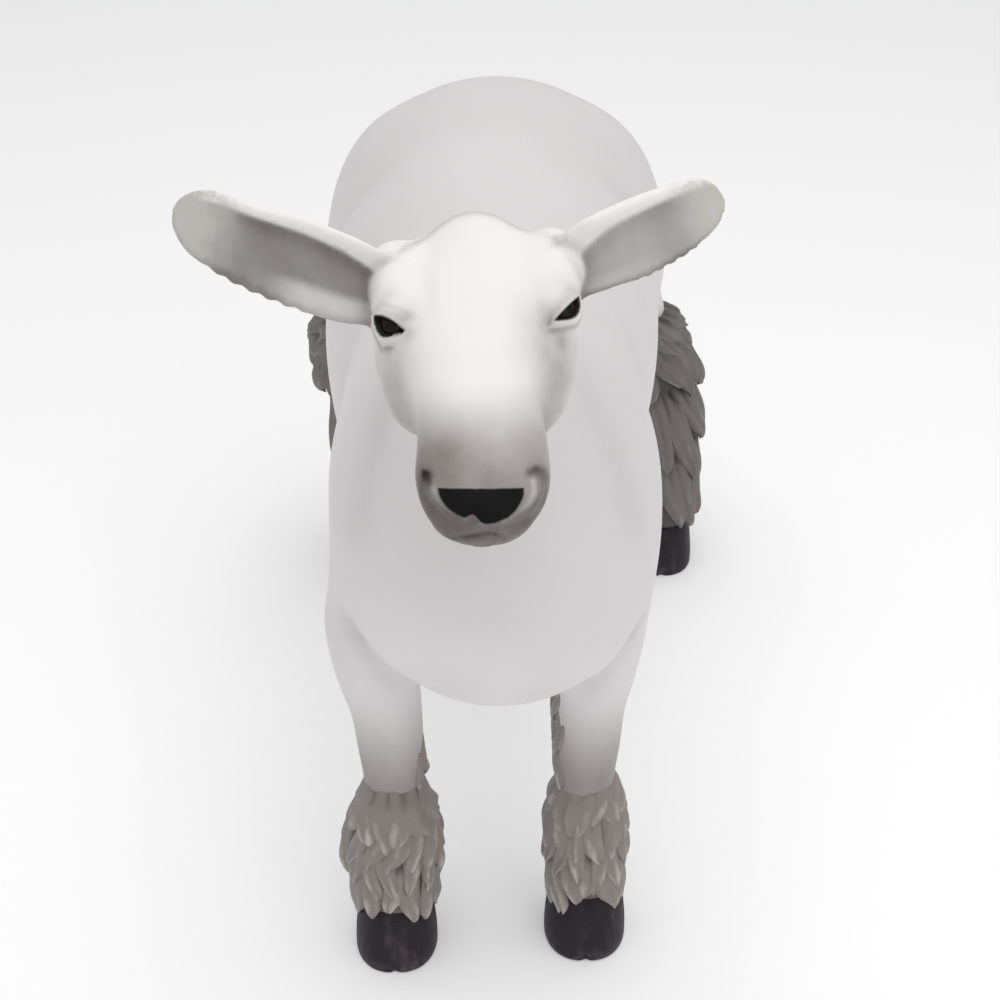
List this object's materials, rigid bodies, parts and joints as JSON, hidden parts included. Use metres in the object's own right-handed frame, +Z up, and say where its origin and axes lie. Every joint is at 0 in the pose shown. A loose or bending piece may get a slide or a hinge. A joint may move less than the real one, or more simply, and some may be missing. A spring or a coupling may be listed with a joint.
{
  "type": "painted resin sheep statue, life size",
  "caption": "Standing long-eared sheep statue: smooth shorn body, neck and head, ears out to the sides, wool on the lower legs, cloven hooves, hanging tail.",
  "frame": {"origin": "on the floor below the middle of the whole figure's box", "axes": "+Z up, -Y the way the muzzle points, +X to the sheep's left"},
  "size_m": [0.4925, 1.1479, 0.8505],
  "materials": {
    "body_paint": "satin white paint on cast resin, grey washed into folds and over muzzle and shins",
    "wool_paint": "sculpted wool locks, grey-brown paint with pale dry-brushed tips",
    "hoof_paint": "satin black paint",
    "eye_paint": "gloss black paint"
  },
  "bodies": {
    "root": {"trunk": "body_paint", "neck": "body_paint", "head": "body_paint", "tail": "body_paint", "ear_left": "body_paint", "ear_right": "body_paint", "eye_left": "eye_paint", "eye_right": "eye_paint", "foreleg_left": "body_paint", "foreleg_left_wool": "wool_paint", "foreleg_left_hoof": "hoof_paint", "foreleg_right": "body_paint", "foreleg_right_wool": "wool_paint", "foreleg_right_hoof": "hoof_paint", "hindleg_left": "body_paint", "hindleg_left_wool": "wool_paint", "hindleg_left_hoof": "hoof_paint", "hindleg_right": "body_paint", "hindleg_right_wool": "wool_paint", "hindleg_right_hoof": "hoof_paint"}
  },
  "joints": []
}
